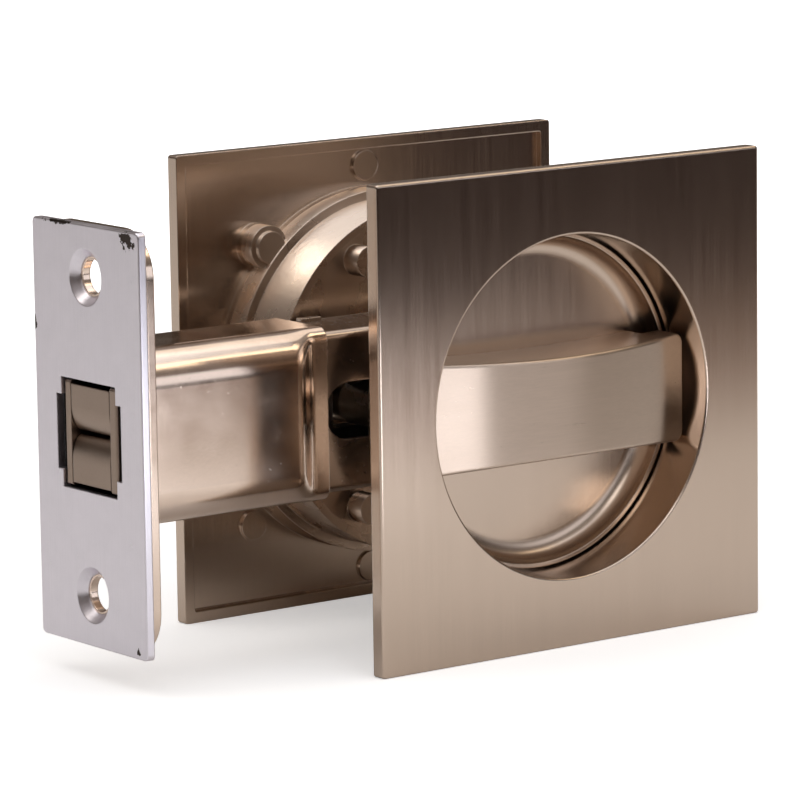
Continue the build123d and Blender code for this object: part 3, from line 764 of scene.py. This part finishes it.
class LOCK_OT_latch(bpy.types.Operator):
    """Gives the latch's case, tail and faceplate their finishes"""

    bl_idname = "lock.latch"
    bl_label = "Latch"

    def execute(self, context):
        colours, sizes = context.scene.lock_colours, context.scene.lock_sizes
        # Drawing stretches the sheet smooth, so that the plate on it is nearly a mirror.
        case = plated_steel(
            "Nickel plated drawn steel", colours.case, sizes,
            roughness=0.16, pebble=0.45 * MM, depth=0.004 * MM,
        )
        dress(case, "latch_case", "back_plate")
        # Stamping keeps the rolled sheet's own skin, which is duller than the drawn case.
        tail = plated_steel(
            "Nickel plated stamped steel", colours.tail, sizes,
            roughness=0.24, pebble=0.3 * MM, depth=0.005 * MM,
        )
        dress(tail, "tail_channel", "tail_cover")
        face = worn_faceplate("Worn brushed nickel", colours.face, colours.chip, sizes)
        dress(face, "trim_plate")
        return {"FINISHED"}


class LOCK_OT_bolt(bpy.types.Operator):
    """Gives the hooks and their carriage their tumbled cast metal"""

    bl_idname = "lock.bolt"
    bl_label = "Bolt"

    def execute(self, context):
        colours, sizes = context.scene.lock_colours, context.scene.lock_sizes
        # Tumbling leaves castings dull and unevenly pebbled, with more dull specks.
        cast = plated_steel(
            "Tumbled cast steel", colours.bolt, sizes,
            roughness=0.33, pebble=0.4 * MM, depth=0.02 * MM, speck_share=0.02,
        )
        dress(cast, "hook_upper", "hook_lower", "carriage")
        return {"FINISHED"}


class LOCK_OT_works(bpy.types.Operator):
    """Gives the drive, the springs, the clips, the pins and the guides their finishes"""

    bl_idname = "lock.works"
    bl_label = "Works"

    def execute(self, context):
        colours, sizes = context.scene.lock_colours, context.scene.lock_sizes
        # Barrel plating gives small parts a pale satin zinc.
        zinc = plated_steel(
            "Zinc plated steel", colours.zinc, sizes,
            roughness=0.3, pebble=0.25 * MM, depth=0.006 * MM,
        )
        dress(zinc, "spindle", "hub", "bolt_slide", "hook_pins", "spreader_pin", "tail_rivets")
        # Tempering turns spring steel a dark grey blue with a soft gloss.
        blued = plated_steel(
            "Blued spring steel", colours.spring, sizes,
            roughness=0.3, pebble=0.2 * MM, depth=0.005 * MM,
        )
        dress(blued, "detent_spring", "turn_clip", "release_clip")
        nylon = moulded_nylon("Moulded black nylon", colours.nylon)
        dress(nylon, "bolt_liner", "front_bushing", "rear_bushing")
        build_screws(sizes, zinc)
        return {"FINISHED"}


class LOCK_OT_studio(bpy.types.Operator):
    """Builds the floor, the lamps, the room and the camera"""

    bl_idname = "lock.studio"
    bl_label = "Studio"

    def execute(self, context):
        studio = context.scene.lock_studio
        low, high = cad_box
        middle = ((low.x + high.x) / 2, 0.0, 0.0)
        for name, azimuth, elevation, distance, size, colour in LAMPS:
            lamp(
                name, azimuth, elevation, distance, size, getattr(studio, name),
                linear(colour), middle,
            )
        build_world()
        build_floor(context.scene.lock_colours.paper)
        build_camera(studio)
        context.scene.view_settings.view_transform = "Standard"
        return {"FINISHED"}


OPERATORS = (
    LOCK_OT_pulls, LOCK_OT_turn, LOCK_OT_latch, LOCK_OT_bolt, LOCK_OT_works, LOCK_OT_studio,
)


class LOCK_PT_sidebar(bpy.types.Panel):
    """Lists the lock's pieces and its studio"""

    bl_label = "Pocket door lock"
    bl_idname = "LOCK_PT_sidebar"
    bl_space_type = "VIEW_3D"
    bl_region_type = "UI"
    bl_category = "Lock"

    def draw(self, context):
        for operator in OPERATORS:
            self.layout.operator(operator.bl_idname)
        scene = context.scene
        for group in (scene.lock_colours, scene.lock_sizes, scene.lock_studio):
            box = self.layout.box()
            for name in group.__annotations__:
                box.prop(group, name)


CLASSES = (LockColours, LockSizes, LockStudio, *OPERATORS, LOCK_PT_sidebar)


def register():
    """Makes the lock's classes and properties known."""
    for known in CLASSES:
        bpy.utils.register_class(known)
    bpy.types.Scene.lock_colours = PointerProperty(type=LockColours)
    bpy.types.Scene.lock_sizes = PointerProperty(type=LockSizes)
    bpy.types.Scene.lock_studio = PointerProperty(type=LockStudio)


def unregister():
    """Takes the lock's properties and classes away again."""
    del bpy.types.Scene.lock_studio
    del bpy.types.Scene.lock_sizes
    del bpy.types.Scene.lock_colours
    for known in reversed(CLASSES):
        bpy.utils.unregister_class(known)


def main():
    """Builds everything."""
    register()
    bpy.ops.lock.pulls()
    bpy.ops.lock.turn()
    bpy.ops.lock.latch()
    bpy.ops.lock.bolt()
    bpy.ops.lock.works()
    bpy.ops.lock.studio()


if __name__ == "__main__":
    main()
